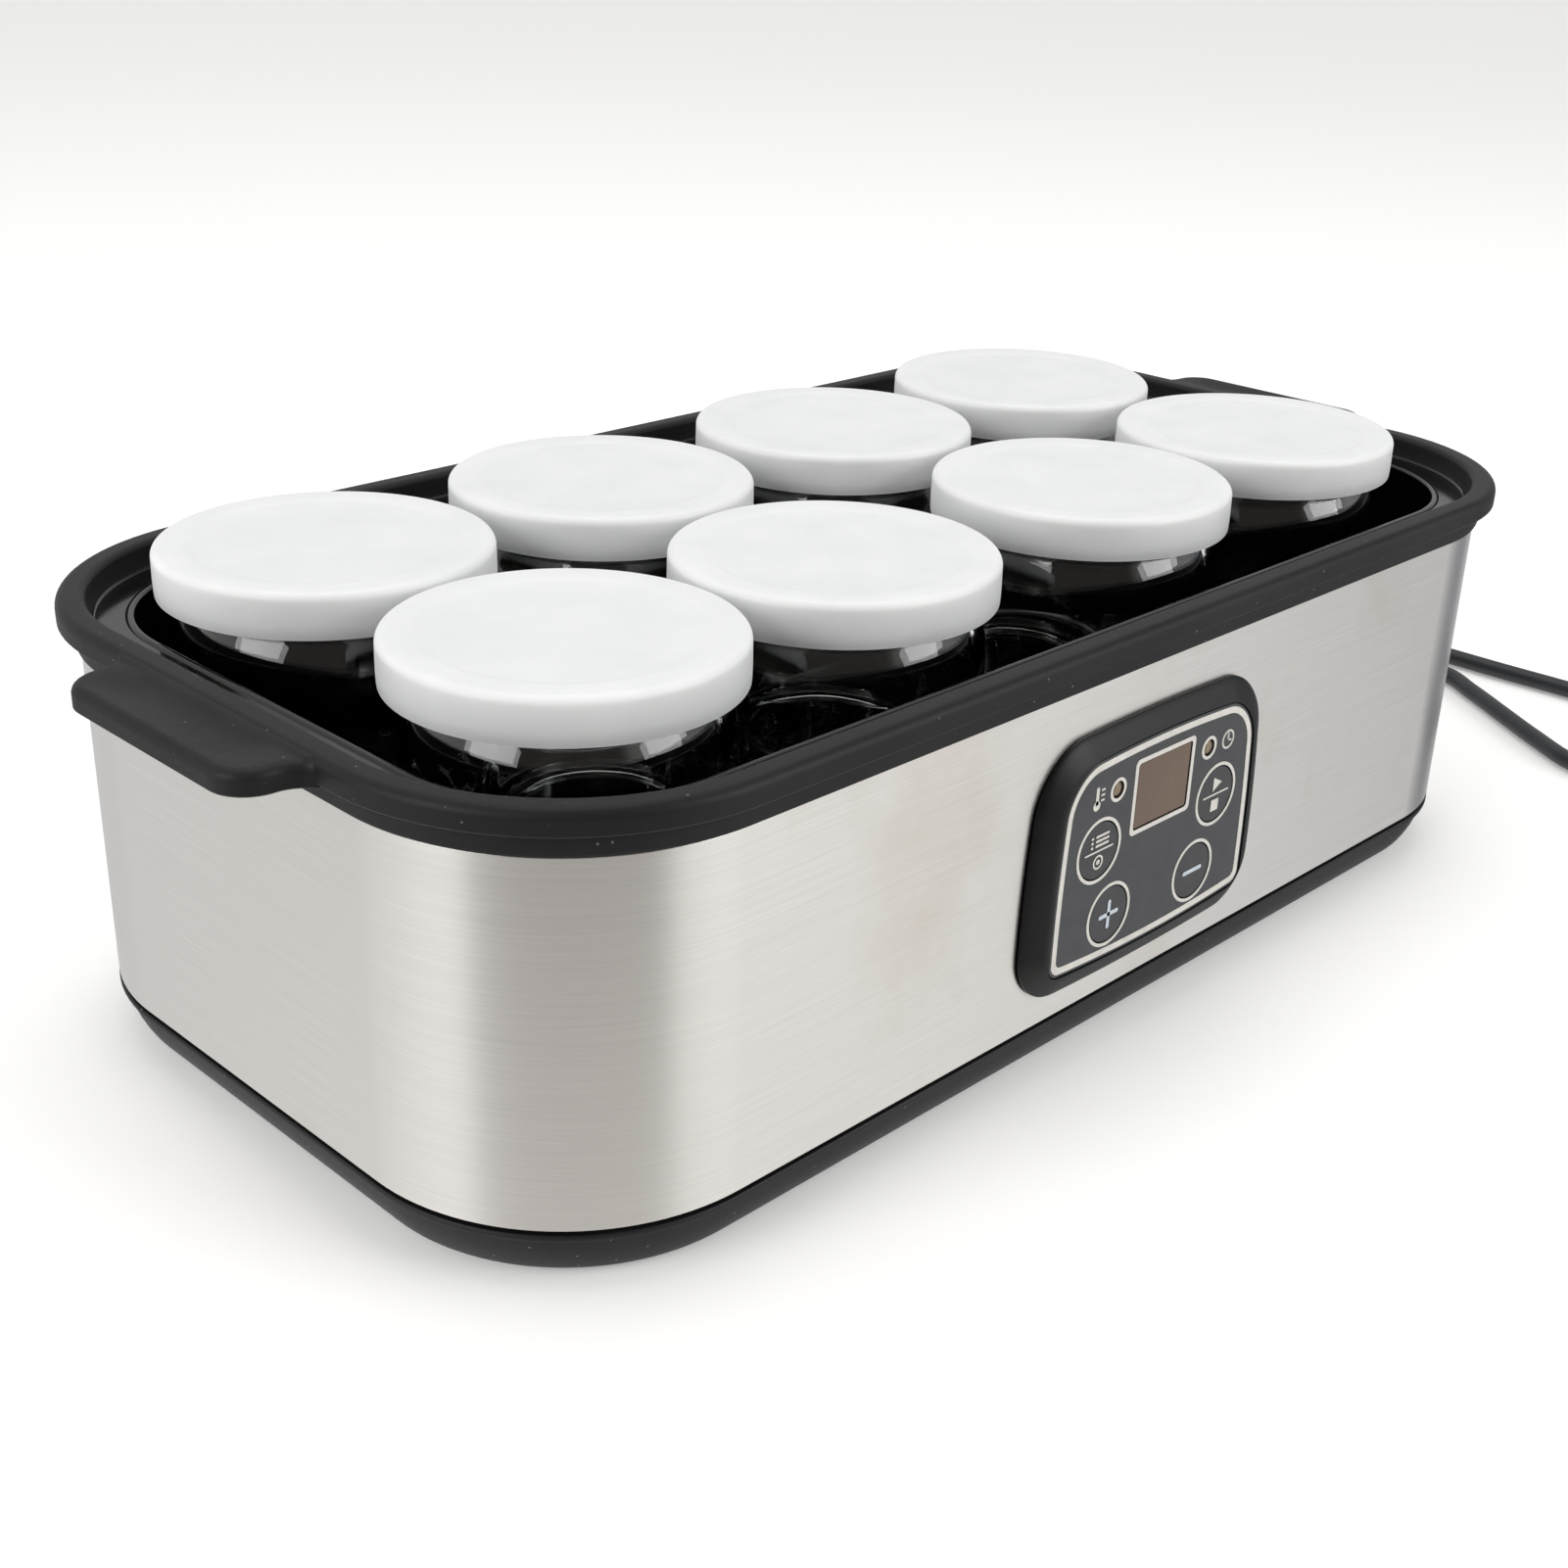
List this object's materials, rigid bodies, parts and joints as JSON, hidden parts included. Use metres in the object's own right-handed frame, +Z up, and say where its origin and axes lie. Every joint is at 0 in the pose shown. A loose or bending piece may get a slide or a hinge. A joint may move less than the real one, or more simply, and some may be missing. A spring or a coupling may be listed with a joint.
{
  "type": "yogurt maker",
  "caption": "Electric yogurt maker: oblong brushed-steel shell with a black tub and lug handles, front control panel, and lidded glass jars standing inside.",
  "frame": {"origin": "bottom centre of the machine, on the surface under its feet, without the cord", "axes": "+X right along the long side as seen from the front, +Y from the panel side to the back, +Z up"},
  "size_m": [0.4633, 0.3132, 0.1103],
  "materials": {
    "black_plastic": "fine-grained matte charcoal",
    "brushed_steel": "fine horizontal brushing, satin",
    "rubber": "matte",
    "screw_steel": "bright zinc plating",
    "overlay": "satin printed sheet",
    "jar_glass": "clear, polished",
    "white_plastic": "milky white, satin",
    "smoked_window": "smoked brown",
    "circuit_board": "green solder resist",
    "aluminium": "rolled sheet",
    "silicone": "matte red-brown silicone",
    "cord_rubber": "satin black PVC"
  },
  "bodies": {
    "body": {"tub": "black_plastic", "steel_shell": "brushed_steel", "base_pan": "black_plastic", "foot_1": "rubber", "foot_2": "rubber", "foot_3": "rubber", "foot_4": "rubber", "base_screw_1": "screw_steel", "base_screw_2": "screw_steel", "base_screw_3": "screw_steel", "base_screw_4": "screw_steel", "panel_bezel": "black_plastic", "panel_overlay": "overlay", "display_window": "smoked_window", "temperature_lens": "smoked_window", "time_lens": "smoked_window", "control_board": "circuit_board", "board_screw_1": "screw_steel", "board_screw_2": "screw_steel", "board_screw_3": "screw_steel", "board_screw_4": "screw_steel", "display_module": "black_plastic", "switch_menu": "black_plastic", "switch_start": "black_plastic", "switch_plus": "black_plastic", "switch_minus": "black_plastic", "heater_plate": "aluminium", "heating_element": "silicone", "thermal_sensor": "white_plastic", "thermal_fuse": "white_plastic", "cord_gland": "cord_rubber", "cord": "cord_rubber", "cord_coil": "cord_rubber", "mains_plug": "cord_rubber", "plug_pin_1": "screw_steel", "plug_pin_2": "screw_steel"},
    "jar_1": {"jar_1": "jar_glass"},
    "jar_2": {"jar_2": "jar_glass"},
    "jar_3": {"jar_3": "jar_glass"},
    "jar_4": {"jar_4": "jar_glass"},
    "jar_5": {"jar_5": "jar_glass"},
    "jar_6": {"jar_6": "jar_glass"},
    "jar_7": {"jar_7": "jar_glass"},
    "jar_8": {"jar_8": "jar_glass"},
    "lid_1": {"lid_1": "white_plastic"},
    "lid_2": {"lid_2": "white_plastic"},
    "lid_3": {"lid_3": "white_plastic"},
    "lid_4": {"lid_4": "white_plastic"},
    "lid_5": {"lid_5": "white_plastic"},
    "lid_6": {"lid_6": "white_plastic"},
    "lid_7": {"lid_7": "white_plastic"},
    "lid_8": {"lid_8": "white_plastic"},
    "key_menu": {"key_menu": "overlay"},
    "key_start": {"key_start": "overlay"},
    "key_plus": {"key_plus": "overlay"},
    "key_minus": {"key_minus": "overlay"}
  },
  "joints": [
    {"name": "jar_1_lift", "type": "slide", "parent": "body", "child": "jar_1", "axis": [0, 0, 1], "range_m": [0, 0.12]},
    {"name": "lid_1_pull", "type": "slide", "parent": "jar_1", "child": "lid_1", "axis": [0, 0, 1], "range_m": [0, 0.06]},
    {"name": "jar_2_lift", "type": "slide", "parent": "body", "child": "jar_2", "axis": [0, 0, 1], "range_m": [0, 0.12]},
    {"name": "lid_2_pull", "type": "slide", "parent": "jar_2", "child": "lid_2", "axis": [0, 0, 1], "range_m": [0, 0.06]},
    {"name": "jar_3_lift", "type": "slide", "parent": "body", "child": "jar_3", "axis": [0, 0, 1], "range_m": [0, 0.12]},
    {"name": "lid_3_pull", "type": "slide", "parent": "jar_3", "child": "lid_3", "axis": [0, 0, 1], "range_m": [0, 0.06]},
    {"name": "jar_4_lift", "type": "slide", "parent": "body", "child": "jar_4", "axis": [0, 0, 1], "range_m": [0, 0.12]},
    {"name": "lid_4_pull", "type": "slide", "parent": "jar_4", "child": "lid_4", "axis": [0, 0, 1], "range_m": [0, 0.06]},
    {"name": "jar_5_lift", "type": "slide", "parent": "body", "child": "jar_5", "axis": [0, 0, 1], "range_m": [0, 0.12]},
    {"name": "lid_5_pull", "type": "slide", "parent": "jar_5", "child": "lid_5", "axis": [0, 0, 1], "range_m": [0, 0.06]},
    {"name": "jar_6_lift", "type": "slide", "parent": "body", "child": "jar_6", "axis": [0, 0, 1], "range_m": [0, 0.12]},
    {"name": "lid_6_pull", "type": "slide", "parent": "jar_6", "child": "lid_6", "axis": [0, 0, 1], "range_m": [0, 0.06]},
    {"name": "jar_7_lift", "type": "slide", "parent": "body", "child": "jar_7", "axis": [0, 0, 1], "range_m": [0, 0.12]},
    {"name": "lid_7_pull", "type": "slide", "parent": "jar_7", "child": "lid_7", "axis": [0, 0, 1], "range_m": [0, 0.06]},
    {"name": "jar_8_lift", "type": "slide", "parent": "body", "child": "jar_8", "axis": [0, 0, 1], "range_m": [0, 0.12]},
    {"name": "lid_8_pull", "type": "slide", "parent": "jar_8", "child": "lid_8", "axis": [0, 0, 1], "range_m": [0, 0.06]},
    {"name": "key_menu_press", "type": "slide", "parent": "body", "child": "key_menu", "axis": [0, 1, 0], "range_m": [0, 0.0006], "stiffness_N_per_m": 800},
    {"name": "key_start_press", "type": "slide", "parent": "body", "child": "key_start", "axis": [0, 1, 0], "range_m": [0, 0.0006], "stiffness_N_per_m": 800},
    {"name": "key_plus_press", "type": "slide", "parent": "body", "child": "key_plus", "axis": [0, 1, 0], "range_m": [0, 0.0006], "stiffness_N_per_m": 800},
    {"name": "key_minus_press", "type": "slide", "parent": "body", "child": "key_minus", "axis": [0, 1, 0], "range_m": [0, 0.0006], "stiffness_N_per_m": 800}
  ]
}
